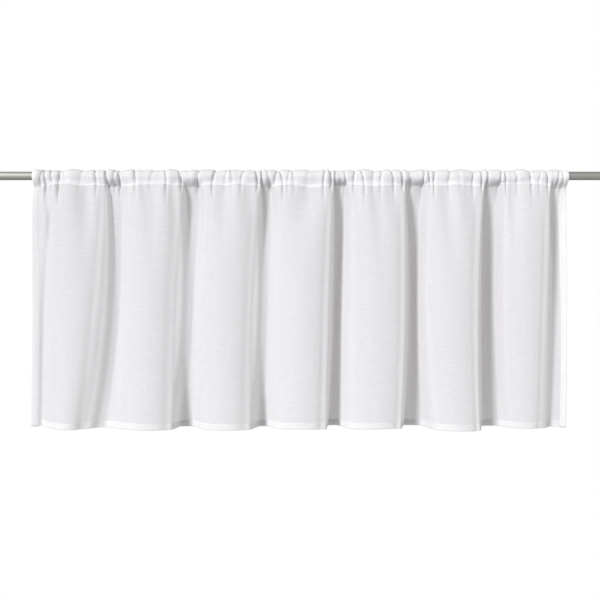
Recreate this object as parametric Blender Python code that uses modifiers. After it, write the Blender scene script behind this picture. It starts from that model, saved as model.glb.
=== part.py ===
"""Cafe curtain gathered on a rod.

Metres, +Z up. X runs along the rod, from its left end at the origin, and the
front of the cloth faces -Y. The cloth is one sheet: its top is turned over the
rod and sewn down as a pocket, and its other three edges are turned hems.
"""
import math

import bmesh
import bpy
from mathutils import Matrix, Vector

MM = 0.001

# Rod
ROD_DIAMETER = 0.016
ROD_LENGTH = 1.200
ROD_EDGE = 0.0006
ROD_SIDES = 32

# Cloth, as it hangs. Heights are below the axis of the rod.
CLOTH_LEFT = 0.091
STITCH_LINE = 0.0195
DROP = 0.4825
CLOTH = 0.0012
HEM = 0.012
HEM_CLOTH = 0.0020
HEM_STEP = 0.0008

# Rod pocket
POCKET_RADIUS = 0.0112
POCKET_SAG = 0.0052
POCKET_LEAST = 0.0098
POCKET_ANGLES = (-48, -2, 44, 90, 136, 182, 228)

# Folds, one row for each from left to right, in mm. A fold has a floor at the
# back of its valley, a rise, a front that bulges by its belly, and an edge
# where its flank starts back to the next floor. Floor, rise, front and edge
# are where each begins, from the left side of the cloth. Behind and before are
# how far the floor and the front lie from the rod's axis. Each is given at the
# stitch line, at mid height and at the hem.
FOLD_COLUMNS = ("floor", "rise", "front", "edge", "behind", "before", "belly")
FOLDS = (
    ((0, -3, -5), (8, 13, 12), (28, 47, 50), (140, 138, 104), (-1, -3, -1), (19, 19, 20), 7.0),
    ((144, 150, 132), (152, 156, 143), (169, 181, 179), (285, 279, 268), (4, 1, 0), (20, 19, 21), 7.5),
    ((289, 302, 277), (319, 312, 300), (335, 337, 337), (432, 425, 416), (15, -5, 21), (20, 19, 21), 7.5),
    ((437, 442, 432), (453, 450, 444), (467, 484, 478), (571, 565, 559), (20, -5, 21), (20, 20, 20), 7.0),
    ((576, 579, 567), (597, 584, 586), (611, 615, 622), (707, 709, 700), (21, 21, 23), (20, 21, 20), 7.0),
    ((716, 727, 716), (751, 735, 747), (767, 757, 777), (857, 847, 849), (22, 22, 27), (20, 21, 22), 6.5),
    ((866, 870, 869), (899, 887, 896), (914, 910, 918), (984, 981, 981), (22, 29, 28), (19, 14, -6), 8.0),
)
LAST_FLOOR = (989, 998, 994)
LAST_RISE = (998, 1007, 1009)
LAST_BEHIND = (22, 17, 28)
RIGHT_SIDE = (1018, 1021, 1022)
RIGHT_BEHIND = (10, 11, 18)
EDGE_CURL = 4.5

# Shape of the parts of a fold, as shares of their width and depth.
RISE_SHAPE = ((0.32, 0.27), (0.66, 0.73))
FRONT_PARTS = (0.0, 0.2, 0.4, 0.6, 0.8, 1.0)
FLANK_SHAPE = ((0.34, 0.42), (0.68, 0.82))

# How the folds open below the pocket, as shares of their full size.
DEPTH_AT_STITCHES = 0.42
OPEN_WITHIN = 0.20
MIDDLE = 0.43

# Gathers in the pocket, one row for each crease, in mm. Lean is how far it
# moves right from the stitch line to the top, and reach is how far it runs
# down the cloth before it fades.
GATHER_COLUMNS = ("place", "dent", "width", "lean", "reach")
GATHERS = (
    (24, 2.9, 4, 1, 40), (38, 2.9, 4, -2, 60), (51, 3.5, 4, 1, 30),
    (122, 2.9, 5, -2, 90), (141, 4.5, 5, 2, 30), (165, 3.8, 5, -1, 70),
    (197, 2.6, 5, 1, 110), (256, 3.2, 6, 1, 90), (286, 4.5, 5, -2, 30),
    (313, 3.5, 5, 1, 60), (344, 3.2, 6, 2, 100), (370, 1.9, 6, -1, 40),
    (398, 1.9, 6, 1, 40), (431, 4.5, 5, -1, 30), (450, 4.2, 5, -1, 40),
    (477, 3.5, 5, -3, 90), (498, 2.2, 5, 2, 40), (556, 3.2, 6, 2, 40),
    (571, 4.2, 4, -1, 30), (586, 4.5, 4, 1, 30), (600, 3.5, 5, -2, 80),
    (632, 3.5, 5, -5, 120), (666, 2.9, 6, 2, 60), (688, 2.9, 5, -3, 40),
    (706, 4.2, 5, -3, 30), (721, 4.5, 5, -2, 30), (740, 3.2, 5, 1, 60),
    (757, 3.8, 5, -3, 90), (795, 1.9, 6, 2, 30), (842, 3.2, 5, 1, 50),
    (857, 4.5, 4, 1, 30), (868, 4.2, 4, 0, 30), (893, 2.9, 5, 2, 90),
    (905, 3.5, 5, 2, 60), (926, 3.2, 5, -2, 60), (952, 3.5, 5, -2, 50),
    (983, 4.5, 5, -2, 30), (1000, 2.6, 5, 2, 30),
)
DRAW_WIDTH = 9
PUFF = 0.0006
PUFF_LENGTHS = (0.061, 0.037)

# Mesh of the cloth
COLUMNS_BETWEEN_POINTS = (1, 2, 1, 2, 3, 2, 2, 2, 3, 2, 1, 1, 1)
PANEL_HEIGHTS = (0.330, 0.215, 0.110, 0.062, 0.037)
LEFT_HEM_PLACES = (0.76, 0.81)
RIGHT_HEM_PLACES = (1.20, 1.25)

WHITE_VOILE = (0.84, 0.84, 0.87, 1.0)
SATIN_METAL = (0.42, 0.41, 0.39, 1.0)


def clear_scene():
    """Remove every object of the scene."""
    for item in list(bpy.data.objects):
        bpy.data.objects.remove(item, do_unlink=True)


def finish(name, colour, roughness, metallic=0.0):
    """Return a plain material."""
    material = bpy.data.materials.new(name)
    material.use_nodes = True
    shader = material.node_tree.nodes["Principled BSDF"]
    shader.inputs["Base Color"].default_value = colour
    shader.inputs["Roughness"].default_value = roughness
    shader.inputs["Metallic"].default_value = metallic
    material.diffuse_color = colour
    return material


def smoothstep(value):
    """Ease a value from 0 to 1."""
    value = min(max(value, 0.0), 1.0)
    return value * value * (3.0 - 2.0 * value)


def along_height(values, share):
    """Read a place given at the stitch line, at mid height and at the hem."""
    top, middle, hem = values
    at_top = (share - MIDDLE) * (share - 1.0) / MIDDLE
    at_middle = share * (share - 1.0) / (MIDDLE * (MIDDLE - 1.0))
    at_hem = share * (share - MIDDLE) / (1.0 - MIDDLE)
    return top * at_top + middle * at_middle + hem * at_hem


def fold_points(fold, next_floor, next_behind, share, opened):
    """Return the plan of one fold, as points from its floor to the next."""
    floor, rise, front, edge, behind, before = (along_height(values, share) for values in fold[:-1])
    belly = fold[-1]
    behind *= opened
    before *= -opened
    points = [(floor, behind), (rise, behind)]
    for part, lifted in RISE_SHAPE:
        points.append((rise + part * (front - rise), behind + lifted * (before - behind)))
    front_end = edge - 1.8 * EDGE_CURL
    for part in FRONT_PARTS:
        bulge = belly * opened * 4 * part * (1 - part)
        points.append((front + part * (front_end - front), before - bulge))
    points.append((edge, before + EDGE_CURL * opened))
    gap = along_height(next_floor, share) - edge
    sink = along_height(next_behind, share) * opened - before
    for part, sunk in FLANK_SHAPE:
        points.append((edge + part * gap, before + sunk * sink))
    return points


def plan_points(share):
    """Return the whole plan of the cloth at one height, as points in mm."""
    opened = DEPTH_AT_STITCHES + (1.0 - DEPTH_AT_STITCHES) * smoothstep(share / OPEN_WITHIN)
    ends = [(fold[0], fold[4]) for fold in FOLDS[1:]] + [(LAST_FLOOR, LAST_BEHIND)]
    points = []
    for fold, (next_floor, next_behind) in zip(FOLDS, ends):
        points += fold_points(fold, next_floor, next_behind, share, opened)
    behind = along_height(LAST_BEHIND, share) * opened
    points.append((along_height(LAST_FLOOR, share), behind))
    points.append((along_height(LAST_RISE, share), behind))
    points.append((along_height(RIGHT_SIDE, share), along_height(RIGHT_BEHIND, share) * opened))
    return points


def curve_at(points, place):
    """Return a point of the smooth curve through the points."""
    last = len(points) - 1
    index = min(int(place), last - 1)
    step = place - index
    before = points[max(index - 1, 0)]
    here = points[index]
    there = points[index + 1]
    after = points[min(index + 2, last)]
    result = []
    for a, b, c, d in zip(before, here, there, after):
        bend = 2 * a - 5 * b + 4 * c - d
        twist = 3 * b - a - 3 * c + d
        result.append(0.5 * (2 * b + (c - a) * step + bend * step**2 + twist * step**3))
    return result


def column_places():
    """Return where the columns of the mesh lie along the plan's points, and the side hems' places."""
    strip = len(FOLDS) * len(COLUMNS_BETWEEN_POINTS)
    left_hem = LEFT_HEM_PLACES[0]
    right_hem = strip + RIGHT_HEM_PLACES[1]
    places = [0.0, *LEFT_HEM_PLACES]
    for point, columns in enumerate(COLUMNS_BETWEEN_POINTS * len(FOLDS)):
        for step in range(columns):
            place = point + step / columns
            if place > LEFT_HEM_PLACES[1]:
                places.append(place)
    places += [strip, strip + 0.4, strip + 0.8]
    places += [strip + place for place in RIGHT_HEM_PLACES]
    places += [strip + 1.6, strip + 2.0]
    return places, left_hem, right_hem


def dent_at(place, below, turn=0.0):
    """Return the depth of the gathers at a place along the rod, in metres."""
    total = 0.0
    for values in GATHERS:
        row = dict(zip(GATHER_COLUMNS, values))
        centre = row["place"] + row["lean"] * turn
        fade = math.exp(-((below / MM / row["reach"]) ** 2))
        total += row["dent"] * fade * math.exp(-(((place / MM - centre) / row["width"]) ** 2))
    return total * MM


def draw_to_gathers(places):
    """Return how far the nearest column has to move to lie in each crease, in mm."""
    top = [curve_at(plan_points(0.0), place)[0] for place in places]
    draws = []
    for crease in GATHERS:
        nearest = min(top, key=lambda place: abs(place - crease[0]))
        draws.append((nearest, crease[0] - nearest))
    return draws


def drawn_place(x, draws, below, turn=0.0):
    """Move a place along the rod towards the creases near it, in mm."""
    moved = x
    for (nearest, draw), crease in zip(draws, GATHERS):
        row = dict(zip(GATHER_COLUMNS, crease))
        fade = math.exp(-((below / MM / row["reach"]) ** 2))
        near = math.exp(-(((x - nearest) / DRAW_WIDTH) ** 2))
        moved += (draw + row["lean"] * turn) * fade * near
    return moved


def puff_at(place):
    """Return how far the pocket stands proud of its usual radius."""
    long, short = PUFF_LENGTHS
    return PUFF * (math.sin(place / long * math.tau) + math.sin(place / short * math.tau + 1.0))


def panel_point(place, below, draws):
    """Return a point of the cloth at a distance below the rod's axis."""
    share = (below - STITCH_LINE) / (DROP - STITCH_LINE)
    x, y = curve_at(plan_points(share), place)
    x = drawn_place(x, draws, below - STITCH_LINE)
    dent = dent_at(x * MM, below - STITCH_LINE)
    return Vector((CLOTH_LEFT + x * MM, y * MM + dent, -below))


def pocket_point(place, angle, draws):
    """Return a point of the pocket at an angle round the rod."""
    turn = min((angle - POCKET_ANGLES[0]) / (90 - POCKET_ANGLES[0]), 1.0)
    x, _ = curve_at(plan_points(0.0), place)
    along = drawn_place(x, draws, 0.0, turn) * MM
    around = math.radians(angle)
    sag = POCKET_SAG * (1.0 - math.sin(around)) / 2
    radius = POCKET_RADIUS + sag + puff_at(along) - dent_at(along, 0.0, turn)
    radius = max(radius, POCKET_LEAST)
    return Vector((CLOTH_LEFT + along, -radius * math.cos(around), radius * math.sin(around)))


def make_cloth(collection, material):
    """Make the cloth: a grid hung in folds, closed over the rod, then thickened."""
    places, left_hem, right_hem = column_places()
    draws = draw_to_gathers(places)
    hem_top = DROP - HEM
    panel = (DROP, hem_top, hem_top - HEM_STEP) + PANEL_HEIGHTS + (STITCH_LINE,)
    rows = len(panel) + len(POCKET_ANGLES) + 1
    mesh = bpy.data.meshes.new("curtain")
    built = bmesh.new()
    bmesh.ops.create_grid(built, x_segments=len(places) - 1, y_segments=rows - 1, size=0.5)
    hems = built.verts.layers.deform.verify()
    for vertex in built.verts:
        column = round((vertex.co.x + 0.5) * (len(places) - 1))
        row = round((vertex.co.y + 0.5) * (rows - 1))
        if row < len(panel):
            vertex.co = panel_point(places[column], panel[row], draws)
        elif row < rows - 1:
            angle = POCKET_ANGLES[row - len(panel)]
            vertex.co = pocket_point(places[column], angle, draws)
        else:
            vertex.co = panel_point(places[column], STITCH_LINE, draws)
        if row < 2 or places[column] <= left_hem or places[column] >= right_hem:
            vertex[hems][0] = 1.0
    bmesh.ops.remove_doubles(built, verts=built.verts, dist=0.00001)
    built.to_mesh(mesh)
    built.free()
    cloth = bpy.data.objects.new("curtain", mesh)
    collection.objects.link(cloth)
    cloth.data.materials.append(material)
    cloth.data.shade_smooth()
    cloth.vertex_groups.new(name="hems")
    thicken = cloth.modifiers.new("thickness", "SOLIDIFY")
    thicken.solidify_mode = "NON_MANIFOLD"
    thicken.nonmanifold_thickness_mode = "FIXED"
    thicken.nonmanifold_merge_threshold = 0.00001
    thicken.thickness = HEM_CLOTH
    thicken.offset = 0.0
    thicken.vertex_group = "hems"
    thicken.thickness_vertex_group = CLOTH / HEM_CLOTH
    return cloth


def make_rod(collection, material):
    """Make the rod: a plain round bar with its end edges broken."""
    mesh = bpy.data.meshes.new("rod")
    built = bmesh.new()
    bmesh.ops.create_cone(
        built, cap_ends=True, segments=ROD_SIDES,
        radius1=ROD_DIAMETER / 2, radius2=ROD_DIAMETER / 2, depth=ROD_LENGTH,
        matrix=Matrix.Rotation(math.radians(90), 4, "Y"),
    )
    built.to_mesh(mesh)
    built.free()
    rod = bpy.data.objects.new("rod", mesh)
    rod.location.x = ROD_LENGTH / 2
    collection.objects.link(rod)
    rod.data.materials.append(material)
    rod.data.shade_smooth()
    rod.data.set_sharp_from_angle(angle=math.radians(40))
    edges = rod.modifiers.new("broken edges", "BEVEL")
    edges.width = ROD_EDGE
    edges.segments = 2
    edges.limit_method = "ANGLE"
    edges.angle_limit = math.radians(60)
    return rod


def main():
    """Build the curtain and its rod."""
    clear_scene()
    collection = bpy.data.collections.new("cafe curtain on a rod")
    bpy.context.scene.collection.children.link(collection)
    make_rod(collection, finish("satin metal", SATIN_METAL, 0.35, 1.0))
    make_cloth(collection, finish("white voile", WHITE_VOILE, 0.9))


main()
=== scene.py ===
# %% [markdown]
# # A sheer cafe curtain on its rod
#
# This lesson dresses the plain solids of a short window curtain: one length of white voile
# whose top is sewn into a pocket and gathered on a round metal rod. Lengths are in metres,
# X runs along the rod from its left end, the room is on the -Y side and Z is up. The tables
# of folds are in millimetres, because that is how a maker measures cloth.
#
# The solids come first and stay where they are. Everything made here is placed by them.

# %% Load the solids
import math

import bmesh
import bpy
import numpy as np
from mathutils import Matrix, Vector


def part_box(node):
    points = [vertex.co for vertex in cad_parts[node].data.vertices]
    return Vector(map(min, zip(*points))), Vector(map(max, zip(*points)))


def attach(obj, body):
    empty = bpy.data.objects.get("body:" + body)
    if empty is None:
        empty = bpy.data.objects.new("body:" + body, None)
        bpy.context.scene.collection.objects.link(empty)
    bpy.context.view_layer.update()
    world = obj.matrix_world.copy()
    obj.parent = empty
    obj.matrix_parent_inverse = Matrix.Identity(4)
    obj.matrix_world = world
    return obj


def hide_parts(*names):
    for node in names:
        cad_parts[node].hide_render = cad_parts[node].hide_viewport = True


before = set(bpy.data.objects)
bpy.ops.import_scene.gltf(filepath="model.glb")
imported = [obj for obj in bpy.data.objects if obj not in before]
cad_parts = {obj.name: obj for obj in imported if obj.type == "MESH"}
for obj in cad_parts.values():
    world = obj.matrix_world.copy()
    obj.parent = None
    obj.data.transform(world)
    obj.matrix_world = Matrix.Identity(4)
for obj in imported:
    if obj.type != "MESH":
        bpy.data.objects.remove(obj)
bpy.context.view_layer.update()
ROD_LOW, ROD_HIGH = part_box("rod")
CLOTH_LOW, CLOTH_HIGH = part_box("curtain")
print("rod from", tuple(round(v, 4) for v in ROD_LOW), "to", tuple(round(v, 4) for v in ROD_HIGH))
print("cloth from", tuple(round(v, 4) for v in CLOTH_LOW), "to", tuple(round(v, 4) for v in CLOTH_HIGH))

# %% [markdown]
# ## Camera
#
# The curtain is seen square on, from about 1.3 m, with the camera level. The distance shows
# in the hem: folds that stand forward reach lower in the picture than the valleys between
# them. A closer camera would make that wave stronger and a distant one would flatten it.
# The width of the view at the rod sets the lens once the distance is known.

# %% Set up the camera
ROD_MIDDLE = (ROD_LOW + ROD_HIGH) / 2
VIEW_DISTANCE = 1.30
VIEW_WIDTH = 1.145
VIEW_CENTRE_BELOW_ROD = 0.2368

camera_data = bpy.data.cameras.new("camera")
camera_data.lens = camera_data.sensor_width * VIEW_DISTANCE / VIEW_WIDTH
camera = bpy.data.objects.new("camera", camera_data)
camera.location = ROD_MIDDLE + Vector((0.0, -VIEW_DISTANCE, -VIEW_CENTRE_BELOW_ROD))
camera.rotation_euler = (math.radians(90), 0.0, 0.0)
bpy.context.scene.collection.objects.link(camera)
bpy.context.scene.camera = camera
print("lens", round(camera_data.lens, 2), "mm")

# %% [markdown]
# ## How the cloth folds
#
# Cut the hanging cloth level at any height and the cut is one long wavy line. Each fold has
# the same parts: a floor at the back of a valley, a rise, a broad front that bulges a
# little, and a flank that drops back to the next valley. A row of the table gives one fold:
# where its floor, rise, front and edge begin along the rod, how far its floor lies behind
# the rod's axis and how far its front stands before it. Each is given at the stitch line, at
# mid height and at the hem, so the folds lean, widen and grow shallow unevenly.
#
# Just under the stitches the gathered pocket holds the folds nearly shut. The valleys start
# with a tenth of their depth and are a little narrower, and they open within a few
# centimetres. The shape of a rise or a flank is a short list of pairs: how far across it a
# point lies, and how far it has gone forward or back by then.
#
# A cloth simulation would also make folds, but not these. Placing them one by one keeps every
# fold where it hangs on the real curtain, and the numbers stay easy to change.

# %% Tables of the folds
MM = 0.001
CLOTH_LEFT = 0.091
STITCH_LINE = 0.0195
DROP = 0.4825
HEM = 0.012
MIDDLE = 0.43

FOLD_COLUMNS = ("floor", "rise", "front", "edge", "behind", "before", "belly")
FOLDS = (
    ((3, 0, -4), (10, 14, 12), (28, 47, 50), (140, 138, 104), (-18, -3, -1), (14, 19, 20), 8.6),
    ((147, 159, 133), (165, 167, 141), (184, 186, 186), (285, 277, 268), (0, 1, 0), (14, 19, 20), 9.4),
    ((291, 303, 279), (319, 308, 300), (333, 331, 335), (432, 422, 416), (20, -1, 19), (14, 19, 21), 9.4),
    ((437, 444, 432), (455, 450, 442), (468, 479, 475), (571, 565, 559), (20, -2, 19), (14, 20, 20), 9.2),
    ((576, 579, 565), (595, 583, 579), (609, 610, 609), (707, 709, 700), (21, 21, 24), (14, 20, 20), 9.2),
    ((714, 726, 714), (743, 732, 742), (760, 749, 769), (857, 847, 849), (22, 23, 29), (14, 20, 22), 8.8),
    ((864, 868, 867), (888, 880, 896), (903, 896, 917), (984, 981, 981), (22, 33, 32), (14, 13, -7), 8.0),
)
LAST_FLOOR, LAST_RISE = (989, 998, 996), (1005, 1011, 1013)
LAST_BEHIND = (22, 17, 28)
RIGHT_SIDE, RIGHT_BEHIND = (1018, 1021, 1026), (4, 8, 24)
EDGE_CURL = 4.5
CURL_REACH = 1.8 * EDGE_CURL
RISE_SHAPE = ((0.32, 0.27), (0.66, 0.73))
FRONT_PARTS = (0.0, 0.2, 0.4, 0.6, 0.8, 1.0)
FLANK_SHAPE = ((0.34, 0.42), (0.68, 0.82))
VALLEYS_AT_STITCHES = 0.10
FRONTS_AT_STITCHES = 0.95
OPEN_WITHIN = 0.08
CLOSED_AT_STITCHES = 0.90
CLOSED_WITHIN = 0.040
folds = [dict(zip(FOLD_COLUMNS, row)) for row in FOLDS]
print(len(folds), "folds over", round((RIGHT_SIDE[0] - folds[0]["floor"][0]) * MM, 3), "m")

# %% [markdown]
# ## The plan of the cloth at one height
#
# `plan_points` returns that wavy line as a few points, and `smooth_curve` reads a smooth
# curve through them. A place on the curve is a number that counts points, so the same place
# is the same thread at every height. The finished width of the cloth is the length of this
# line at one height, a little above the middle.

# %% Functions for the plan
def smoothstep(value):
    """Ease a value from 0 to 1."""
    value = np.clip(value, 0.0, 1.0)
    return value * value * (3.0 - 2.0 * value)


def along_height(values, share):
    """Read a size given at the stitch line, at mid height and at the hem."""
    top, middle, hem = values
    at_top = (share - MIDDLE) * (share - 1.0) / MIDDLE
    at_middle = share * (share - 1.0) / (MIDDLE * (MIDDLE - 1.0))
    at_hem = share * (share - MIDDLE) / (1.0 - MIDDLE)
    return top * at_top + middle * at_middle + hem * at_hem


def plan_points(share):
    """Return the whole plan of the cloth at one height, as points in mm."""
    shut = math.exp(-max(share, 0.0) / OPEN_WITHIN)
    sunken = 1.0 - (1.0 - VALLEYS_AT_STITCHES) * shut
    opened = 1.0 - (1.0 - FRONTS_AT_STITCHES) * shut
    width = 1.0 - (1.0 - CLOSED_AT_STITCHES) * math.exp(-((share / CLOSED_WITHIN) ** 2))
    ends = [(fold["floor"], fold["behind"]) for fold in folds[1:]] + [(LAST_FLOOR, LAST_BEHIND)]
    points, last_edge = [], None
    for fold, (next_floor, next_behind) in zip(folds, ends):
        floor, rise, front, edge, behind, before = (
            along_height(fold[name], share) for name in FOLD_COLUMNS[:6]
        )
        behind, before = behind * sunken, -before * opened
        if last_edge:
            starts = (floor, rise, front)
            floor, rise, front = (last_edge + (place - last_edge) * width for place in starts)
        points += [(floor, behind), (rise, behind)]
        for part, lifted in RISE_SHAPE:
            points.append((rise + part * (front - rise), behind + lifted * (before - behind)))
        last = edge - CURL_REACH
        for part in FRONT_PARTS:
            bulge = fold["belly"] * opened * 4 * part * (1 - part)
            points.append((front + part * (last - front), before - bulge))
        points.append((edge, before + EDGE_CURL * opened))
        gap = (along_height(next_floor, share) - edge) * width
        sink = along_height(next_behind, share) * sunken - before
        points += [(edge + part * gap, before + sunk * sink) for part, sunk in FLANK_SHAPE]
        last_edge = edge
    behind = along_height(LAST_BEHIND, share) * sunken
    for place in (LAST_FLOOR, LAST_RISE):
        points.append((last_edge + (along_height(place, share) - last_edge) * width, behind))
    points.append((along_height(RIGHT_SIDE, share), along_height(RIGHT_BEHIND, share) * opened))
    return points


def smooth_curve(points, places):
    """Read the smooth curve through the points at some places along it."""
    points = np.array(points, float)
    last = len(points) - 1
    index = np.clip(places.astype(int), 0, last - 1)
    step = (places - index)[:, None]
    before = points[np.maximum(index - 1, 0)]
    here = points[index]
    there = points[index + 1]
    after = points[np.minimum(index + 2, last)]
    bend = 2 * before - 5 * here + 4 * there - after
    twist = 3 * here - before - 3 * there + after
    return 0.5 * (2 * here + (there - before) * step + bend * step**2 + twist * step**3)


LAST_PLACE = len(plan_points(MIDDLE)) - 1
FINE_STEPS = 8000
LENGTH_SHARE = 0.4
fine_places = np.linspace(0.0, LAST_PLACE, FINE_STEPS + 1)
fine_plan = smooth_curve(plan_points(LENGTH_SHARE), fine_places) * MM
fine_lengths = np.concatenate([[0.0], np.cumsum(np.linalg.norm(np.diff(fine_plan, axis=0), axis=1))])
FINISHED_WIDTH = fine_lengths[-1]
print("the cloth is", round(FINISHED_WIDTH, 3), "m wide when it is pulled flat")

# %% [markdown]
# ## Gathers and pleats
#
# The pocket is longer than the rod, so it is pushed together and creases. Each crease is a
# soft trough that leans a little and fades a few centimetres down the cloth. Below it the
# cloth keeps broader pleats that fade more slowly. Both are bell curves pushed into the
# cloth at listed places. Noise would spread them evenly, and real gathers bunch up in some
# spots and leave smooth stretches in others. Long shallow creases run on to the hem.

# %% Tables of the creases
GATHER_COLUMNS = ("place", "dent", "width", "lean", "reach")
GATHERS = (
    (17, 2.6, 3.0, 4, 12), (27, 3.6, 2.6, -3, 20), (40, 3.2, 2.4, -2, 16), (53, 5.0, 2.8, 2, 26),
    (66, 1.4, 4.0, -3, 14), (93, 1.2, 4.0, 3, 12), (124, 3.2, 2.8, -2, 22), (143, 5.5, 2.6, -2, 10),
    (156, 2.6, 2.4, 2, 14), (166, 5.2, 2.6, 1, 16), (199, 3.4, 3.0, -2, 22), (226, 1.6, 4.0, 4, 14),
    (257, 3.6, 3.0, -2, 22), (284, 5.5, 2.8, -2, 10), (300, 3.0, 2.4, -2, 12), (314, 4.6, 2.6, 3, 16),
    (344, 4.2, 2.8, 4, 20), (367, 2.2, 3.4, 3, 14), (381, 1.8, 3.2, -2, 14), (398, 2.6, 3.2, 4, 18),
    (428, 5.5, 2.4, -1, 10), (437, 5.0, 2.2, 0, 12), (451, 4.4, 2.6, -3, 18), (462, 2.8, 2.4, 3, 14),
    (477, 4.8, 2.6, -5, 26), (486, 2.4, 2.4, 3, 14), (498, 2.0, 3.4, -2, 16), (522, 1.6, 5.0, 3, 14),
    (554, 4.2, 2.6, 2, 22), (568, 5.5, 2.6, -1, 10), (575, 4.2, 2.2, 2, 12), (585, 5.0, 2.4, 0, 14),
    (596, 3.4, 2.6, -2, 22), (611, 3.6, 2.6, 2, 20), (631, 4.0, 2.8, -5, 26), (647, 1.8, 3.2, 2, 14),
    (662, 3.2, 3.0, 2, 20), (687, 3.4, 2.8, -3, 18), (704, 5.5, 2.6, -2, 10), (719, 5.0, 2.6, -2, 12),
    (743, 3.8, 2.6, 2, 20), (755, 3.4, 2.4, -2, 16), (763, 4.4, 2.6, 2, 22), (791, 2.6, 3.4, 3, 18),
    (812, 1.6, 4.0, -3, 14), (837, 3.6, 2.8, 2, 20), (854, 5.5, 2.6, -1, 10), (865, 5.0, 2.4, 1, 12),
    (889, 3.8, 2.6, 2, 22), (900, 4.2, 2.6, -2, 20), (921, 3.6, 2.8, -3, 22), (947, 4.0, 2.8, -2, 18),
    (962, 2.0, 2.8, 3, 14), (979, 5.5, 2.6, -2, 10), (998, 3.4, 2.6, 2, 16), (1008, 2.4, 2.4, -2, 14),
)
PLEAT_COLUMNS = ("place", "depth", "width", "drift", "reach")
PLEATS = (
    (29, 5.0, 6, 4, 40), (55, 3.0, 6, 0, 40), (104, 8.5, 17, 2, 95), (132, 2.4, 6, 0, 60),
    (182, 4.6, 7, -6, 45), (213, 3.0, 7, 6, 45), (231, 6.6, 16, 0, 95), (268, 4.6, 9, 4, 70),
    (366, 8.2, 17, 2, 90), (411, 5.0, 13, 0, 50), (527, 11.0, 26, -14, 85), (593, 1.5, 4, 0, 30),
    (617, 2.4, 5, 0, 35), (651, 6.2, 14, 10, 110), (684, 7.0, 21, 0, 60), (740, 2.2, 5, 0, 40),
    (786, 9.2, 16, 8, 105), (829, 7.6, 21, 4, 65), (914, 9.6, 14, 0, 85), (946, 5.6, 26, 0, 90),
)
CREASE_COLUMNS = ("top", "middle", "hem", "depth", "width")
CREASES = (
    (46, 24, 17, 4.3, 6.0), (136, 122, 96, 1.2, 6.5), (280, 266, 258, 1.1, 7.0),
    (423, 411, 405, 1.0, 6.0), (563, 554, 548, 1.0, 4.5), (697, 698, 690, 1.0, 4.5),
    (844, 835, 840, 0.9, 4.0), (973, 968, 966, 1.0, 4.0),
)
CREASE_START = 0.10
gathers = dict(zip(GATHER_COLUMNS, np.array(GATHERS, float).T))
pleats = dict(zip(PLEAT_COLUMNS, np.array(PLEATS, float).T))
creases = [dict(zip(CREASE_COLUMNS, row)) for row in CREASES]


def gather_dents(x, below, leaning=0.0):
    """Depth of the gathers in mm at places x, some way below the stitch line."""
    centres = gathers["place"] + gathers["lean"] * leaning
    fades = np.exp(-((below / gathers["reach"]) ** 2))
    bells = np.exp(-(((x[:, None] - centres) / gathers["width"]) ** 2))
    return (gathers["dent"] * fades * bells).sum(1)


def pleat_dents(x, below):
    """Depth of the broader pleats in mm at places x, some way below the stitch line."""
    fall = below / pleats["reach"]
    centres = pleats["place"] + pleats["drift"] * fall
    bells = np.exp(-(((x[:, None] - centres) / pleats["width"]) ** 2))
    return (pleats["depth"] * np.exp(-(fall**2)) * bells).sum(1)


def crease_dents(x, share):
    """Depth in mm of the long creases that run down beside the edges of the folds."""
    dents = np.zeros(len(x))
    for crease in creases:
        centre = along_height((crease["top"], crease["middle"], crease["hem"]), share)
        dents += crease["depth"] * np.exp(-(((x - centre) / crease["width"]) ** 2))
    return dents * smoothstep(share / CREASE_START - 0.5)


print(len(GATHERS), "gathers,", len(PLEATS), "pleats and", len(CREASES), "long creases")

# %% [markdown]
# ## Where the seams wander
#
# The stitch line under the rod isn't straight. Gathering pulls it up where the cloth bunches
# and lets it sag where the pocket is smooth. The hem rises and falls in longer waves. Two
# short tables give the drop at a few places along the rod.

# %% Tables of the seams
SEAM_DROPS = (
    (6, 2.0), (30, 0.5), (60, -2.0), (80, 0.5), (97, 2.2), (110, -1.0), (140, 0.5), (165, -1.0),
    (186, 2.0), (215, -1.2), (250, -1.2), (305, 1.2), (330, -1.0), (370, 0.6), (395, -1.0),
    (425, 0.5), (460, 2.0), (488, -1.2), (505, 1.5), (530, 4.0), (550, 2.5), (568, -2.5),
    (598, -3.0), (615, 0.0), (640, 2.3), (668, 1.0), (688, -1.0), (740, -2.6), (770, 0.5),
    (800, -1.0), (835, 0.5), (875, 0.6), (890, -3.4), (925, -2.6), (960, -2.6), (985, 2.2), (1010, 2.2),
)
HEM_DROPS = (
    (0, -6.0), (60, -2.6), (150, -3.4), (230, -2.0), (285, -1.2), (370, -2.8), (432, -1.4), (500, -4.8),
    (565, -2.4), (640, -4.4), (685, -5.0), (715, -1.6), (790, -1.6), (850, 0.4), (930, -0.8), (1018, 1.0),
)
SEAM_SOFTNESS = 14.0
SEAM_MARGIN = 60.0
BELL_WIDTH = 9.0
BELL_REACH = 24


def drop_at(table, x):
    """Read a table of drops smoothly at places x, in mm."""
    places, drops = np.array(table, float).T
    grid = np.arange(-SEAM_MARGIN, RIGHT_SIDE[0] + SEAM_MARGIN)
    steps = np.interp(grid, places, drops)
    bell = np.exp(-((np.arange(-BELL_REACH, BELL_REACH + 1) / BELL_WIDTH) ** 2))
    smooth = np.convolve(np.pad(steps, BELL_REACH, "edge"), bell / bell.sum(), "valid")
    return np.interp(x, grid, smooth)


# %% [markdown]
# ## The front of the cloth, and the pocket
#
# `panel` gives the points of one level row of the cloth, and `pocket` those of one row that
# runs along the rod at an angle round it. The pocket hangs from the top of the rod, so it is
# tight there and slack underneath, and both its ends come down to the stitch line. Two slow
# waves make it fuller in some places along the rod than in others, and no gather is so deep
# that it reaches the metal.

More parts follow.
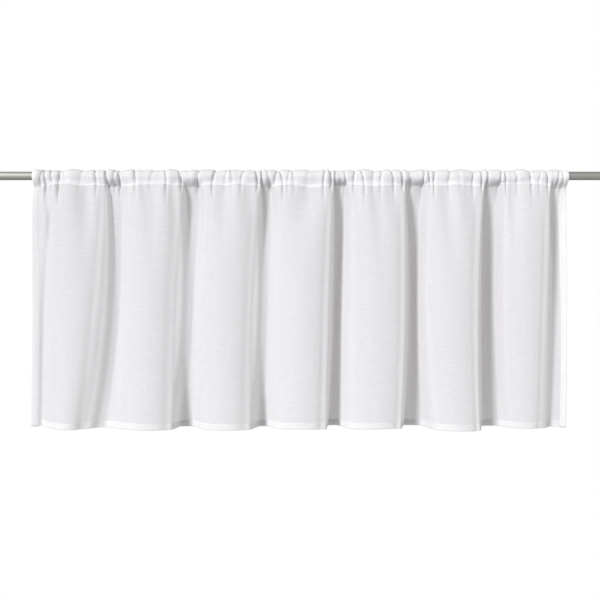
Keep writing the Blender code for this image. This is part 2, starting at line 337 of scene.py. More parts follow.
# %% Functions for the surface
POCKET_RADIUS = 11.2
POCKET_SAG = 5.2
POCKET_LEAST = ROD_HIGH.z / MM + 0.55
PUFF = 0.9
PUFF_LENGTHS = (61.0, 37.0)
POCKET_ENDS = (-76.0, 256.0)
POCKET_BLEND = 0.13
LEAN_BETWEEN = (-48.0, 90.0)
CLOTH = 0.0003


def panel(places, below):
    """Points of the cloth at a distance below the rod, in metres."""
    share = (below - STITCH_LINE) / (DROP - STITCH_LINE)
    x, y = smooth_curve(plan_points(share), places).T
    below_stitches = (below - STITCH_LINE) / MM
    y = y + gather_dents(x, below_stitches) + pleat_dents(x, below_stitches) + crease_dents(x, share)
    wander = drop_at(SEAM_DROPS, x) * math.exp(-((below_stitches / SEAM_SOFTNESS) ** 2))
    wander += drop_at(HEM_DROPS, x) * share**2
    return np.stack([CLOTH_LEFT + x * MM, y * MM, -below - wander * MM], 1)


def pocket(places, turn, end_gap):
    """Points of the pocket, where turn goes from 0 at the front seam to 1 at the back seam."""
    angle = POCKET_ENDS[0] + (POCKET_ENDS[1] - POCKET_ENDS[0]) * turn
    lean = min(max((angle - LEAN_BETWEEN[0]) / (LEAN_BETWEEN[1] - LEAN_BETWEEN[0]), 0.0), 1.0)
    x = smooth_curve(plan_points(0.0), places)[:, 0]
    around = math.radians(angle)
    sag = POCKET_SAG * (1.0 - math.sin(around)) / 2
    long, short = PUFF_LENGTHS
    puff = PUFF * (np.sin(x / long * math.tau) + np.sin(x / short * math.tau + 1.0))
    radius = POCKET_RADIUS + sag + puff - gather_dents(x, 0.0, lean)
    radius = np.maximum(radius, POCKET_LEAST)
    hung = np.stack([
        CLOTH_LEFT + (x + gather_lean(x, lean)) * MM,
        -radius * math.cos(around) * MM,
        radius * math.sin(around) * MM,
    ], 1)
    seam = panel(places, STITCH_LINE)
    if turn > 0.5:
        seam[:, 1] += end_gap
    held = 1.0 - smoothstep(min(turn, 1.0 - turn) / POCKET_BLEND)
    return hung + (seam - hung) * held


def gather_lean(x, lean):
    """How far the gathers carry the cloth sideways as they lean, in mm."""
    bells = np.exp(-(((x[:, None] - gathers["place"]) / (2 * gathers["width"])) ** 2))
    return (gathers["lean"] * lean * bells).sum(1) / np.maximum(bells.sum(1), 1.0)


# %% [markdown]
# ## One strip of cloth, turned as a maker turns it
#
# The whole curtain is one surface. Its raw edges are turned in and hidden, as on the real
# one: each side is folded twice, the bottom is folded twice over that, and the top goes over
# the rod, down behind it and is turned in at the seam. The layers lie a cloth's thickness
# apart. A single surface with real turnings shows light through one layer and whiter cloth
# where layers lie together, which a thickened slab could not do.
#
# A column has a distance from the side of the cloth and a layer: 0 is the front, 1 the
# turned edge between the layers and 2 the back of the hem. The stack is how many layers lie
# on each other: three in a side hem and one elsewhere. Columns crowd together at the gathers,
# which are sharp, and lie further apart between them.

# %% Columns and rows of the strip
TURN_IN = 0.006
COLUMN_STEP = 0.0028
CROWD = 2.6
CROWD_REACH = 5.0
COLUMN_TRIALS = 12000
EDGE_INSET = 0.0004
LEAST_STEP = 0.0002
side_hem = (
    (TURN_IN, 1.0), (0.009, 1.0), (0.0117, 1.0), (HEM + CLOTH / 2, 1.5), (0.0117, 2.0),
    (0.008, 2.0), (0.004, 2.0), (EDGE_INSET, 2.0), (-CLOTH, 1.0),
)
inside = np.linspace(EDGE_INSET, FINISHED_WIDTH - EDGE_INSET, COLUMN_TRIALS + 1)
inside_x = smooth_curve(plan_points(0.0), np.interp(inside, fine_lengths, fine_places))[:, 0]
near_gathers = np.exp(-(((inside_x[:, None] - gathers["place"]) / CROWD_REACH) ** 2)).max(1)
crowding = np.cumsum(1.0 + CROWD * near_gathers)
crowding = (crowding - crowding[0]) / (crowding[-1] - crowding[0])
front_count = round((1.0 + CROWD * near_gathers.mean()) * FINISHED_WIDTH / COLUMN_STEP)
front_steps = np.interp(np.linspace(0.0, 1.0, front_count), crowding, inside)
across = np.array(
    [d for d, _ in side_hem] + list(front_steps) + [FINISHED_WIDTH - d for d, _ in reversed(side_hem)]
)
side_layer = np.array([s for _, s in side_hem] + [0.0] * front_count + [s for _, s in reversed(side_hem)])
flat_across = np.concatenate([[0.0], np.cumsum(np.maximum(np.abs(np.diff(across)), LEAST_STEP))])
in_side_hem = (across < HEM) | (across > FINISHED_WIDTH - HEM)
stack = np.where(in_side_hem, 3.0, 1.0)
places = np.interp(across, fine_lengths, fine_places)
overhang = np.minimum(across, 0.0) + np.maximum(across - FINISHED_WIDTH, 0.0)
print(len(across), "columns; the strip is", round(flat_across[-1], 3), "m wide with its turnings")

# %% [markdown]
# A row says how it lies: on the panel at some height above the hem's fold, or in the pocket
# at some turn round the rod. Rows are close together at the gathers, where the cloth changes
# fast, and far apart lower down.

# %% Make the rows
TOP_TURN_IN = 0.0075
POCKET_ROWS = 28
TURNED, BACK, FRONT = 1, 2, 0
FIRST_STEP = 0.0018
STEP_GROWTH = 1.15
MOST_STEPS = 60
CLEAR_OF_HEM = 0.006
hem_rows = [("hem", h, TURNED) for h in (TURN_IN, 0.009, 0.0116)] + [("top fold", HEM, None)]
hem_rows += [("hem", h, BACK) for h in (0.0116, 0.008, 0.004, EDGE_INSET)] + [("bottom fold", 0.0, None)]
hem_front_rows = [("hem", h, FRONT) for h in (EDGE_INSET, 0.002, 0.004, 0.006, 0.008, 0.010, 0.0116)]
hem_rows += hem_front_rows
steps = FIRST_STEP * STEP_GROWTH ** np.arange(MOST_STEPS)
below_stitches = np.concatenate([[0.0], np.cumsum(steps)])
below_stitches = below_stitches[below_stitches < DROP - STITCH_LINE - HEM - CLEAR_OF_HEM]
panel_rows = [("hem", DROP - STITCH_LINE - b, FRONT) for b in below_stitches[::-1]]
pocket_rows = [("pocket", turn, FRONT) for turn in np.linspace(0.0, 1.0, POCKET_ROWS + 1)[1:]]
pocket_rows += [("pocket fold", 1.0, None)]
pocket_rows += [("pocket", turn, TURNED) for turn in (1.0, 0.975, 0.94, 0.905)]
rows = hem_rows + panel_rows + pocket_rows
print(len(rows), "rows")

# %% [markdown]
# The layers of a turning lie behind each other, so each point needs the direction from the
# front of the cloth to its back. It is level and square to the row, and two places close by
# on the same row give it.

# %% Place the rows
NEARBY = 0.02
SEAM_TURN = 0.02
LEAST_FOLD = 0.3


def back_of(at, below):
    """Level directions at some places: from the front of the cloth to its back, and along it."""
    ahead, behind = np.minimum(at + NEARBY, LAST_PLACE), np.maximum(at - NEARBY, 0.0)
    along = panel(ahead, below) - panel(behind, below)
    along[:, 2] = 0.0
    along /= np.linalg.norm(along, axis=1)[:, None]
    return np.stack([-along[:, 1], along[:, 0], np.zeros(len(along))], 1), along


def row_points(kind, size, layer):
    """Points of one row of the strip, with its layers set a thickness apart."""
    if kind.startswith("pocket"):
        gap = (3 * stack - 1) * CLOTH
        points = pocket(places, size, gap)
        angle = math.radians(POCKET_ENDS[0] + (POCKET_ENDS[1] - POCKET_ENDS[0]) * size)
        inward = np.array([0.0, math.cos(angle), -math.sin(angle)])
        if min(size, 1.0 - size) < SEAM_TURN:
            inward = np.array([0.0, 1.0 if size < 0.5 else -1.0, 0.0])
        into = side_layer if layer == FRONT else 2 * stack - 1 - side_layer
        if kind == "pocket fold":
            into = (2 * stack - 1) / 2
            points[:, 2] -= (into - side_layer).clip(LEAST_FOLD) * CLOTH
        points = points + inward * (into * CLOTH)[:, None]
        points[:, 0] += overhang
        return points
    below = DROP - size
    points = panel(places, below)
    away, along = back_of(places, below)
    depth = {FRONT: side_layer, TURNED: stack + side_layer, BACK: 3 * stack - 1 - side_layer}.get(layer)
    if kind == "bottom fold":
        depth = (3 * stack - 1) / 2
        points[:, 2] -= (depth - side_layer) * CLOTH
    if kind == "top fold":
        depth = (4 * stack - 1) / 2
        points[:, 2] += ((2 * stack - 1) / 2 - side_layer).clip(LEAST_FOLD) * CLOTH
    return points + away * (depth * CLOTH)[:, None] + along * overhang[:, None]


grid_points = np.array([row_points(*row) for row in rows])
row_gaps = np.linalg.norm(np.diff(grid_points, axis=0), axis=2).mean(1)
flat_up = np.concatenate([[0.0], np.cumsum(row_gaps)])
CUT_SIZE = (float(flat_across[-1]), float(flat_up[-1]))
print("cut size", tuple(round(v, 3) for v in CUT_SIZE), "m")

# %% [markdown]
# ## Hang the strip
#
# A grid already knows which vertex belongs to which row and column. It is made flat, its
# vertices are moved to the points above, and its UV map is the flat cloth in metres, so that
# the weave follows the thread through every fold.

# %% Make the mesh of the cloth
def make_cloth():
    """Make the curtain as one surface with its UV map in flat metres."""
    shape = bmesh.new()
    bmesh.ops.create_grid(shape, x_segments=len(across) - 1, y_segments=len(rows) - 1, size=0.5)
    mesh = bpy.data.meshes.new("voile_curtain")
    shape.to_mesh(mesh)
    shape.free()
    flat = np.zeros(len(mesh.vertices) * 3, np.float32)
    mesh.vertices.foreach_get("co", flat)
    flat = flat.reshape(-1, 3)
    column = np.rint((flat[:, 0] + 0.5) * (len(across) - 1)).astype(int)
    row = np.rint((flat[:, 1] + 0.5) * (len(rows) - 1)).astype(int)
    mesh.vertices.foreach_set("co", grid_points[row, column].astype(np.float32).ravel())
    uv = mesh.uv_layers.new(name="flat")
    corner = np.zeros(len(mesh.loops), np.int32)
    mesh.loops.foreach_get("vertex_index", corner)
    places_on_cloth = np.stack([flat_across[column[corner]], flat_up[row[corner]]], 1)
    uv.data.foreach_set("uv", places_on_cloth.astype(np.float32).ravel())
    mesh.shade_smooth()
    mesh.update()
    cloth = bpy.data.objects.new("voile_curtain", mesh)
    bpy.context.scene.collection.objects.link(cloth)
    return cloth


voile_curtain = make_cloth()
print("triangles in the cloth:", 2 * len(voile_curtain.data.polygons))

# %% [markdown]
# ## Stitches
#
# The hems and the pocket are sewn with white thread. A stitch shows as a little over 2 mm of
# thread, thinner at both ends where it goes into the cloth, so each is a short bit of curve
# with a bevel, and all those of a seam are splines of one curve object. The seam follows the
# cloth because its points are read from the same functions.

# %% Sew the seams
STITCH = 0.0030
STITCH_PARTS = (0.12, 0.36, 0.64, 0.88)
STITCH_TAPER = (0.55, 1.0, 1.0, 0.55)
THREAD = 0.00022
LEVEL_SEAM_INSET = 0.001
UPRIGHT_SEAM_INSET = 0.003
SEAM_TO_FOLD = 0.0012


def stitches_between(first, last):
    """Ends and middle of each stitch on a seam that runs from first to last, in metres."""
    starts = np.arange(first, last, STITCH)
    return np.stack([starts + part * STITCH for part in STITCH_PARTS], 1)


def level_seam(below, side, layers):
    """Stitches along a level row of the cloth, on its front or its back."""
    spots = stitches_between(LEVEL_SEAM_INSET, FINISHED_WIDTH - LEVEL_SEAM_INSET - STITCH)
    at = np.interp(spots.ravel(), fine_lengths, fine_places)
    away, _ = back_of(at, below)
    shift = -THREAD / 2 if side == "front" else layers * CLOTH + THREAD / 2
    return (panel(at, below) + away * shift).reshape(len(spots), len(STITCH_PARTS), 3)


def upright_seam(inset, side):
    """Stitches down the inner edge of a side hem."""
    spots = stitches_between(STITCH_LINE + UPRIGHT_SEAM_INSET, DROP - UPRIGHT_SEAM_INSET)
    at = np.interp([inset], fine_lengths, fine_places)
    shift = -THREAD / 2 if side == "front" else 2 * CLOTH + THREAD / 2
    found = []
    for below in spots.ravel():
        away, _ = back_of(at, below)
        found.append((panel(at, below) + away * shift)[0])
    return np.array(found).reshape(len(spots), len(STITCH_PARTS), 3)


def sew(name, seams):
    """Make one curve object of many short stitches."""
    thread = bpy.data.curves.new(name, "CURVE")
    thread.dimensions = "3D"
    thread.bevel_depth = THREAD
    thread.bevel_resolution = 0
    thread.use_fill_caps = True
    for stitch in np.concatenate(seams):
        spline = thread.splines.new("POLY")
        spline.points.add(len(stitch) - 1)
        for point, co, radius in zip(spline.points, stitch, STITCH_TAPER):
            point.co = (*co, 1.0)
            point.radius = radius
    piece = bpy.data.objects.new(name, thread)
    bpy.context.scene.collection.objects.link(piece)
    print(name, len(thread.splines), "stitches")
    return piece


HEM_SEAM = DROP - HEM + SEAM_TO_FOLD
SIDE_SEAM = HEM - SEAM_TO_FOLD
hem_stitches = sew("hem_stitches", [
    level_seam(HEM_SEAM, "front", 2), level_seam(HEM_SEAM, "back", 2),
    upright_seam(SIDE_SEAM, "front"), upright_seam(SIDE_SEAM, "back"),
    upright_seam(FINISHED_WIDTH - SIDE_SEAM, "front"), upright_seam(FINISHED_WIDTH - SIDE_SEAM, "back"),
])
pocket_stitches = sew("pocket_stitches", [
    level_seam(STITCH_LINE, "front", 2), level_seam(STITCH_LINE, "back", 2),
])

# %% [markdown]
# ## Helpers for the materials
#
# A material is a graph of nodes, and long graphs are hard to read when every node takes four
# lines. These helpers add one kind of node each and return its output, so that the graphs
# below read like sums.

# %% Helpers for node groups
def new_group(name, inputs, outputs):
    """Start a shader node group with named number inputs and named outputs."""
    group = bpy.data.node_groups.new(name, "ShaderNodeTree")
    for label, value in inputs.items():
        socket = group.interface.new_socket(label, in_out="INPUT", socket_type="NodeSocketFloat")
        socket.default_value = value
    for label in outputs:
        group.interface.new_socket(label, in_out="OUTPUT", socket_type="NodeSocketFloat")
    start = group.nodes.new("NodeGroupInput")
    end = group.nodes.new("NodeGroupOutput")
    return group, start, end


def feed(tree, socket, value):
    """Give a socket its value, which is another socket or a plain number or colour."""
    if isinstance(value, bpy.types.NodeSocket):
        tree.links.new(value, socket)
    else:
        socket.default_value = value


def maths(tree, operation, *values):
    """Add a Math node and return its output. Values are sockets or plain numbers."""
    node = tree.nodes.new("ShaderNodeMath")
    node.operation = operation
    for socket, value in zip(node.inputs, values):
        feed(tree, socket, value)
    return node.outputs[0]


def clamped(tree, value):
    """Add a Clamp node that keeps a value from 0 to 1."""
    node = tree.nodes.new("ShaderNodeClamp")
    tree.links.new(value, node.inputs["Value"])
    return node.outputs["Result"]


def eased(tree, value, low, high):
    """Add a Map Range node that eases from 0 at low to 1 at high."""
    node = tree.nodes.new("ShaderNodeMapRange")
    node.interpolation_type = "SMOOTHSTEP"
    tree.links.new(value, node.inputs["Value"])
    node.inputs["From Min"].default_value = low
    node.inputs["From Max"].default_value = high
    return node.outputs["Result"]


def flat_place(tree):
    """Read the flat UV map and return how far across and how far up the cloth it is, in metres."""
    uv = tree.nodes.new("ShaderNodeUVMap")
    uv.uv_map = "flat"
    split = tree.nodes.new("ShaderNodeSeparateXYZ")
    tree.links.new(uv.outputs["UV"], split.inputs["Vector"])
    return split.outputs["X"], split.outputs["Y"]


def noise(tree, x, y, detail=2.0):
    """Add a Noise Texture read at two values and return its factor."""
    join = tree.nodes.new("ShaderNodeCombineXYZ")
    tree.links.new(x, join.inputs["X"])
    tree.links.new(y, join.inputs["Y"])
    texture = tree.nodes.new("ShaderNodeTexNoise")
    texture.noise_dimensions = "2D"
    texture.inputs["Scale"].default_value = 1.0
    texture.inputs["Detail"].default_value = detail
    tree.links.new(join.outputs["Vector"], texture.inputs["Vector"])
    return texture.outputs["Fac"]


# %% [markdown]
# ## The voile
#
# Voile is a plain weave of fine hard yarn with small gaps between the threads. Up close it is
# a grid; from a step away it is a soft veil with short thick places in the yarn, the slubs,
# which run across the cloth. The group below gives the weave as values that change over the
# surface: how close the threads are, how high they stand, where the slubs lie and which of
# the upright threads are whiter. It reads the flat UV map, so the threads keep their size in
# every fold.

# %% Build the weave group
SLUBS_BETWEEN = (0.38, 0.72)
STREAKS_BETWEEN = (0.35, 0.70)
WEFT_SHIFT = 7.31
WARP_SHIFT = 5.17
STREAKS_PER_METRE = 9.0
RIB_HEIGHT = -0.25
SLUB_HEIGHT = 0.9


def weave_group():
    """Plain weave read from the flat UV map: closeness of the threads, height, slubs, streaks."""
    group, start, end = new_group(
        "plain weave",
        {"Pitch": 0.0009, "Slub Length": 0.016, "Slub Width": 0.0013, "Gap": 0.5},
        ("Closeness", "Height", "Slubs", "Streaks"),
    )
    across_cloth, up_cloth = flat_place(group)
    pitch = start.outputs["Pitch"]

    def wave(value):
        turns = maths(group, "DIVIDE", value, pitch)
        return maths(group, "COSINE", maths(group, "MULTIPLY", turns, math.tau))

    warp, weft = wave(across_cloth), wave(up_cloth)
    gaps = maths(group, "MULTIPLY", maths(group, "MULTIPLY_ADD", warp, 0.5, 0.5),
                 maths(group, "MULTIPLY_ADD", weft, 0.5, 0.5))
    closeness = maths(group, "SUBTRACT", 1.0, maths(group, "MULTIPLY", gaps, start.outputs["Gap"]))
    weft_row = maths(group, "FLOOR", maths(group, "DIVIDE", up_cloth, start.outputs["Slub Width"]))
    slub_noise = noise(group, maths(group, "DIVIDE", across_cloth, start.outputs["Slub Length"]),
                       maths(group, "MULTIPLY", weft_row, WEFT_SHIFT))
    slubs = eased(group, slub_noise, *SLUBS_BETWEEN)
    warp_row = maths(group, "FLOOR", maths(group, "DIVIDE", across_cloth, start.outputs["Slub Width"]))
    streak_noise = noise(group, maths(group, "MULTIPLY", warp_row, WARP_SHIFT),
                         maths(group, "MULTIPLY", up_cloth, STREAKS_PER_METRE))
    streaks = eased(group, streak_noise, *STREAKS_BETWEEN)
    ribs = maths(group, "MULTIPLY", maths(group, "ADD", warp, weft), RIB_HEIGHT)
    height = maths(group, "ADD", ribs, maths(group, "MULTIPLY", slubs, SLUB_HEIGHT))
    found = {"Closeness": closeness, "Height": height, "Slubs": slubs, "Streaks": streaks}
    for label, value in found.items():
        group.links.new(value, end.inputs[label])
    print("group", group.name, "with", len(group.nodes), "nodes")
    return group


plain_weave = weave_group()

# %% [markdown]
# ## Where the cloth lies double
#
# Layers sewn together look whiter and closer than one layer, because more light comes back off
# them. The turnings are real here, so some of that comes by itself. The rest is a mask made
# from the flat UV map, which makes the cloth closer and adds painted brightness as a whiter base
# colour: it is 1 within the side hems, the bottom hem and the turned edge of the pocket, and a
# little less in a narrow band above the stitches. A second mask marks the whole pocket, where
# light that soaks through meets the rod and the back layer and returns; part of that light is
# painted in as a whiter base colour.

# %% Build the mask of the hems
SIDE_FRONT = float(flat_across[len(side_hem)])
HEM_FRONT = float(flat_up[len(hem_rows) - len(hem_front_rows)])
SEAM_UP = float(flat_up[len(hem_rows) + len(panel_rows) - 1])
SEAM_BAND = 0.0042
SEAM_MASK = 0.70


def hem_group():
    """Masks of where the cloth is sewn double and of the pocket, from the flat UV map; the material
    paints both whiter.
    """
    group, start, end = new_group("doubled cloth", {"Softness": 0.0006}, ("Mask", "Pocket"))
    across_cloth, up_cloth = flat_place(group)

    def below_edge(value, edge):
        past = maths(group, "DIVIDE", maths(group, "SUBTRACT", edge, value), start.outputs["Softness"])
        return maths(group, "ADD", past, 0.5)

    left = below_edge(across_cloth, SIDE_FRONT + HEM)
    from_right = maths(group, "SUBTRACT", CUT_SIZE[0], across_cloth)
    right = below_edge(from_right, SIDE_FRONT + HEM)
    bottom = below_edge(up_cloth, HEM_FRONT + HEM)
    from_seam = maths(group, "ABSOLUTE", maths(group, "SUBTRACT", up_cloth, SEAM_UP + SEAM_BAND / 2))
    seam = maths(group, "MINIMUM", below_edge(from_seam, SEAM_BAND / 2), SEAM_MASK)
    from_top = maths(group, "SUBTRACT", CUT_SIZE[1], up_cloth)
    top = below_edge(from_top, 2 * TOP_TURN_IN)
    mask = left
    for other in (right, bottom, seam, top):
        mask = maths(group, "MAXIMUM", mask, other)
    group.links.new(clamped(group, mask), end.inputs["Mask"])
    above_seam = maths(group, "SUBTRACT", up_cloth, SEAM_UP)
    in_pocket = maths(group, "DIVIDE", above_seam, start.outputs["Softness"])
    group.links.new(clamped(group, in_pocket), end.inputs["Pocket"])
    print("group", group.name, "with", len(group.nodes), "nodes")
    return group


doubled_cloth = hem_group()

# %% [markdown]
# ## The voile's material
#
# Cloth this thin does three things with light: its threads send some back, let some through
# and scatter it, and its gaps let you look straight through. So the material is a Principled
# shader for the threads' near side, a Translucent shader for the light that soaks through
# and a Transparent shader for the gaps. The light that comes through is a little warmer.

# %% Make the voile
SINGLE_WHITE = (0.78, 0.78, 0.81, 1.0)
# painted brightness: the whiter base colour for places where the cloth lies double
PAINTED_DOUBLE_WHITE = (0.90, 0.90, 0.92, 1.0)
THROUGH = (0.80, 0.735, 0.715, 1.0)
THROUGH_HEM = (0.79, 0.79, 0.80, 1.0)
SOAKS_THROUGH = 0.38
COVER_SINGLE = 0.86
COVER_DOUBLE = 0.97
CLOSENESS_TO_COVER = (0.5, 0.556)
SLUB_COVER = 0.02
# share of the whiter base colour and of the extra cover that the pocket gets: painted brightness for
# light returned by the rod and the back layer
POCKET_COVER_AND_PAINTED_WHITE = 0.36
POCKET_SOAKS = 0.20
PLAIN_LIGHT = 0.93
SLUB_LIGHT = 0.05
STREAK_LIGHT = 0.04


def place_group(tree, group, **values):
    """Add a group to a material with its own values."""
    node = tree.nodes.new("ShaderNodeGroup")
    node.node_tree = group
    for label, value in values.items():
        node.inputs[label.replace("_", " ")].default_value = value
    return node


def mix_colour(tree, factor, first, second, blend="MIX"):
    """Mix two colours. The factor and the colours may be sockets or plain values."""
    node = tree.nodes.new("ShaderNodeMix")
    node.data_type = "RGBA"
    node.blend_type = blend
    feed(tree, node.inputs["Factor"], factor)
    feed(tree, node.inputs["A"], first)
    feed(tree, node.inputs["B"], second)
    return node.outputs["Result"]


def raise_surface(tree, shader, height, strength, distance):
    """Bend a shader's normal by a height, through a Bump node."""
    bump = tree.nodes.new("ShaderNodeBump")
    bump.inputs["Strength"].default_value = strength
    bump.inputs["Distance"].default_value = distance
    tree.links.new(height, bump.inputs["Height"])
    tree.links.new(bump.outputs["Normal"], shader.inputs["Normal"])


def new_material(name, roughness):
    """Start a material and return it with its node tree and its Principled shader."""
    material = bpy.data.materials.new(name)
    material.use_nodes = True
    shader = material.node_tree.nodes["Principled BSDF"]
    shader.inputs["Roughness"].default_value = roughness
    return material, material.node_tree, shader


def voile_material():
    """White slubbed voile: threads, light soaking through and gaps."""
    material, tree, threads = new_material("white voile", 0.85)
    weave = place_group(tree, plain_weave, Pitch=0.0009, Gap=0.45)
    masks = place_group(tree, doubled_cloth)
    doubled, in_pocket = masks.outputs["Mask"], masks.outputs["Pocket"]
    # painted brightness in the pocket: a share of the pocket mask joins the doubled mask
    thicker_and_painted_white = maths(tree, "MAXIMUM", doubled, maths(tree, "MULTIPLY", in_pocket, POCKET_COVER_AND_PAINTED_WHITE))
    slubs, streaks = weave.outputs["Slubs"], weave.outputs["Streaks"]
    # painted brightness: where the cloth lies double, and partly in the pocket, the base colour is whiter
    white = mix_colour(tree, thicker_and_painted_white, SINGLE_WHITE, PAINTED_DOUBLE_WHITE)
    lighter = maths(tree, "ADD", maths(tree, "MULTIPLY", slubs, SLUB_LIGHT),
                    maths(tree, "MULTIPLY", streaks, STREAK_LIGHT))
    lighter = maths(tree, "ADD", lighter, PLAIN_LIGHT)
    threads.inputs["Sheen Weight"].default_value = 0.15
    threads.inputs["Specular IOR Level"].default_value = 0.2
    feed(tree, threads.inputs["Base Color"], mix_colour(tree, 1.0, white, lighter, blend="MULTIPLY"))
    raise_surface(tree, threads, weave.outputs["Height"], strength=0.35, distance=0.0002)
    through = tree.nodes.new("ShaderNodeBsdfTranslucent")
    tree.links.new(mix_colour(tree, doubled, THROUGH, THROUGH_HEM), through.inputs["Color"])
    body = tree.nodes.new("ShaderNodeMixShader")
    soaks = maths(tree, "MULTIPLY_ADD", in_pocket, POCKET_SOAKS - SOAKS_THROUGH, SOAKS_THROUGH)
    tree.links.new(soaks, body.inputs["Fac"])
    tree.links.new(threads.outputs["BSDF"], body.inputs[1])
    tree.links.new(through.outputs["BSDF"], body.inputs[2])
    cover = maths(tree, "MULTIPLY_ADD", thicker_and_painted_white, COVER_DOUBLE - COVER_SINGLE, COVER_SINGLE)
    woven = maths(tree, "MULTIPLY_ADD", weave.outputs["Closeness"], *CLOSENESS_TO_COVER)
    cover = maths(tree, "MULTIPLY", cover, woven)
    cover = maths(tree, "ADD", cover, maths(tree, "MULTIPLY", slubs, SLUB_COVER))
    gaps = tree.nodes.new("ShaderNodeBsdfTransparent")
    veil = tree.nodes.new("ShaderNodeMixShader")
    tree.links.new(maths(tree, "MINIMUM", cover, 1.0), veil.inputs["Fac"])
    tree.links.new(gaps.outputs["BSDF"], veil.inputs[1])
    tree.links.new(body.outputs["Shader"], veil.inputs[2])
    tree.links.new(veil.outputs["Shader"], tree.nodes["Material Output"].inputs["Surface"])
    return material


voile = voile_material()
voile_curtain.data.materials.append(voile)

# %% [markdown]
# The thread is polyester, a little brighter and smoother than the cloth, with a fine twist.

# %% Make the sewing thread
def thread_material():
    """White sewing thread with a fine twist."""
    material, tree, shader = new_material("sewing thread", 0.55)
    place = tree.nodes.new("ShaderNodeTexCoord")
    twist = tree.nodes.new("ShaderNodeTexWave")
    twist.bands_direction = "DIAGONAL"
    twist.inputs["Scale"].default_value = 900.0
    tree.links.new(place.outputs["Object"], twist.inputs["Vector"])
    colour = mix_colour(tree, twist.outputs["Fac"], (0.80, 0.80, 0.82, 1.0), (0.93, 0.93, 0.94, 1.0))
    tree.links.new(colour, shader.inputs["Base Color"])
    raise_surface(tree, shader, twist.outputs["Fac"], strength=0.4, distance=0.00005)
    return material


sewing_thread = thread_material()
for seam in (hem_stitches, pocket_stitches):
    seam.data.materials.append(sewing_thread)

# %% [markdown]
# ## The rod
#
# The rod is satin nickel: drawn tube, brushed lengthwise and plated. The solid's shape is
# right as it is, so it keeps its mesh and only gets this finish. The brushing is noise
# stretched along the rod. It changes the colour, the roughness and the height a little.

# %% Make the satin metal
WEAR_ALONG = 22.0
WEAR_AROUND = 0.06
SATIN_ROUGHNESS = 0.56
GRAIN_ROUGHNESS = 0.12
WEAR_ROUGHNESS = 0.10


def brushed_group():
    """Fine brushing along X: a value that is long in one direction and fine in the others."""
    group, start, end = new_group("brushing", {"Length": 0.06, "Fineness": 0.0006}, ("Grain", "Wear"))
    place = group.nodes.new("ShaderNodeTexCoord")
    split = group.nodes.new("ShaderNodeSeparateXYZ")
    group.links.new(place.outputs["Object"], split.inputs["Vector"])
    along = maths(group, "DIVIDE", split.outputs["X"], start.outputs["Length"])
    around = maths(group, "ARCTAN2", split.outputs["Z"], split.outputs["Y"])
    around = maths(group, "MULTIPLY", around, ROD_HIGH.z)
    around = maths(group, "DIVIDE", around, start.outputs["Fineness"])
    grain = noise(group, along, around, detail=3.0)
    wear = noise(group, maths(group, "MULTIPLY", split.outputs["X"], WEAR_ALONG),
                 maths(group, "MULTIPLY", around, WEAR_AROUND))
    group.links.new(grain, end.inputs["Grain"])
    group.links.new(wear, end.inputs["Wear"])
    return group


def satin_metal_material():
    """Satin nickel, brushed along the rod."""
    material, tree, shader = new_material("satin nickel", SATIN_ROUGHNESS)
    shader.inputs["Metallic"].default_value = 1.0
    brushing = place_group(tree, brushed_group())
    grain, wear = brushing.outputs["Grain"], brushing.outputs["Wear"]
    colour = mix_colour(tree, grain, (0.35, 0.34, 0.32, 1.0), (0.48, 0.47, 0.45, 1.0))
    tree.links.new(colour, shader.inputs["Base Color"])
    rough = maths(tree, "ADD", maths(tree, "MULTIPLY", grain, GRAIN_ROUGHNESS),
                  maths(tree, "MULTIPLY", wear, WEAR_ROUGHNESS))
    tree.links.new(maths(tree, "ADD", rough, SATIN_ROUGHNESS), shader.inputs["Roughness"])
    raise_surface(tree, shader, grain, strength=0.15, distance=0.00005)
    return material


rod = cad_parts["rod"]
satin_nickel = satin_metal_material()
for slot in rod.material_slots:
    slot.material = satin_nickel

# %% [markdown]
# ## Stage and light
#
# A pale floor lies well below the curtain. The main sun lamp stands to the left of the camera,
# as a window or a large softbox would, and lights the left side of every fold. Each fold's
# right edge then shades the valley beside it, which is what makes the folds read. A weaker
# lamp on the right and an even sky fill the shadows, and the backdrop is plain white.

# %% Floor, backdrop and lamps
FLOOR_DROP = 0.95
FLOOR_SIZE = (5.0, 3.2)
FLOOR_BACK_EDGE = 0.28
SKY = 0.29
LAMPS = {
    "key": {"side": -41.0, "up": 21.0, "strength": 3.86, "spread": 14.0},
    "fill": {"side": 62.0, "up": 15.0, "strength": 0.86, "spread": 30.0},
}


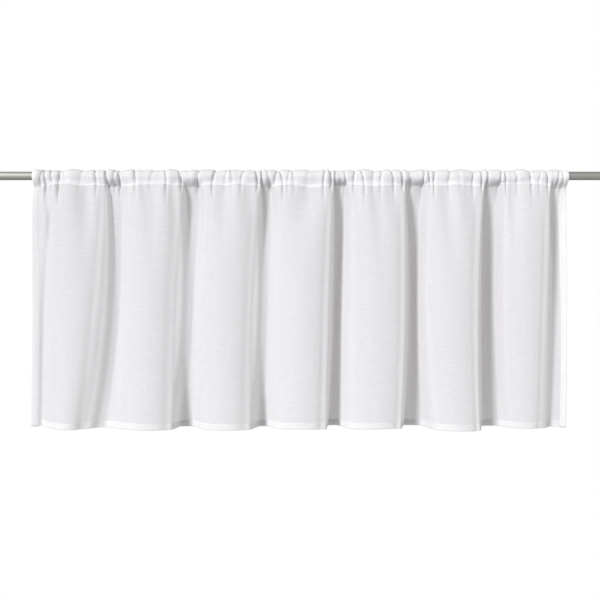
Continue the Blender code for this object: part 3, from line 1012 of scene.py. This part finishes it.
def make_floor():
    """A plain pale floor whose back edge stays under the picture."""
    mesh = bpy.data.meshes.new("floor")
    shape = bmesh.new()
    bmesh.ops.create_grid(shape, x_segments=1, y_segments=1, size=0.5)
    bmesh.ops.scale(shape, vec=(*FLOOR_SIZE, 1.0), verts=shape.verts)
    shape.to_mesh(mesh)
    shape.free()
    floor = bpy.data.objects.new("floor", mesh)
    floor.location = (ROD_MIDDLE.x, FLOOR_BACK_EDGE - FLOOR_SIZE[1] / 2, -FLOOR_DROP)
    bpy.context.scene.collection.objects.link(floor)
    material, tree, shader = new_material("pale floor", 0.9)
    place = tree.nodes.new("ShaderNodeTexCoord")
    cloud = tree.nodes.new("ShaderNodeTexNoise")
    cloud.inputs["Scale"].default_value = 3.0
    tree.links.new(place.outputs["Object"], cloud.inputs["Vector"])
    colour = mix_colour(tree, cloud.outputs["Fac"], (0.80, 0.80, 0.79, 1.0), (0.84, 0.84, 0.83, 1.0))
    tree.links.new(colour, shader.inputs["Base Color"])
    mesh.materials.append(material)


def make_sky():
    """White where the camera sees it, and a soft even fill for the light."""
    world = bpy.data.worlds.new("studio")
    world.use_nodes = True
    tree = world.node_tree
    tree.nodes.clear()
    output = tree.nodes.new("ShaderNodeOutputWorld")
    sky = tree.nodes.new("ShaderNodeBackground")
    seen = tree.nodes.new("ShaderNodeLightPath")
    level = maths(tree, "MULTIPLY_ADD", seen.outputs["Is Camera Ray"], 1.0 - SKY, SKY)
    sky.inputs["Color"].default_value = (1.0, 1.0, 1.0, 1.0)
    tree.links.new(level, sky.inputs["Strength"])
    tree.links.new(sky.outputs["Background"], output.inputs["Surface"])
    bpy.context.scene.world = world


def make_lamp(name, side, up, strength, spread):
    """A sun lamp aimed at the rod from a side and a height given in degrees."""
    lamp = bpy.data.lights.new(name, "SUN")
    lamp.energy = strength
    lamp.angle = math.radians(spread)
    sun = bpy.data.objects.new(name, lamp)
    side, up = math.radians(side), math.radians(up)
    towards = Vector((math.sin(side) * math.cos(up), -math.cos(side) * math.cos(up), math.sin(up)))
    sun.rotation_mode = "QUATERNION"
    sun.rotation_quaternion = towards.to_track_quat("Z", "Y")
    sun.location = ROD_MIDDLE + towards * 2.0
    bpy.context.scene.collection.objects.link(sun)


make_floor()
make_sky()
for name, lamp in LAMPS.items():
    make_lamp(name, **lamp)
bpy.context.scene.view_settings.view_transform = "Standard"
print(len(LAMPS), "lamps:", ", ".join(LAMPS))

# %% [markdown]
# ## Tie the pieces to the model
#
# Each new piece rides on the one body, and the solid of the cloth that they replace is hidden.

for piece in (voile_curtain, hem_stitches, pocket_stitches):
    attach(piece, "root")
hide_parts("curtain")
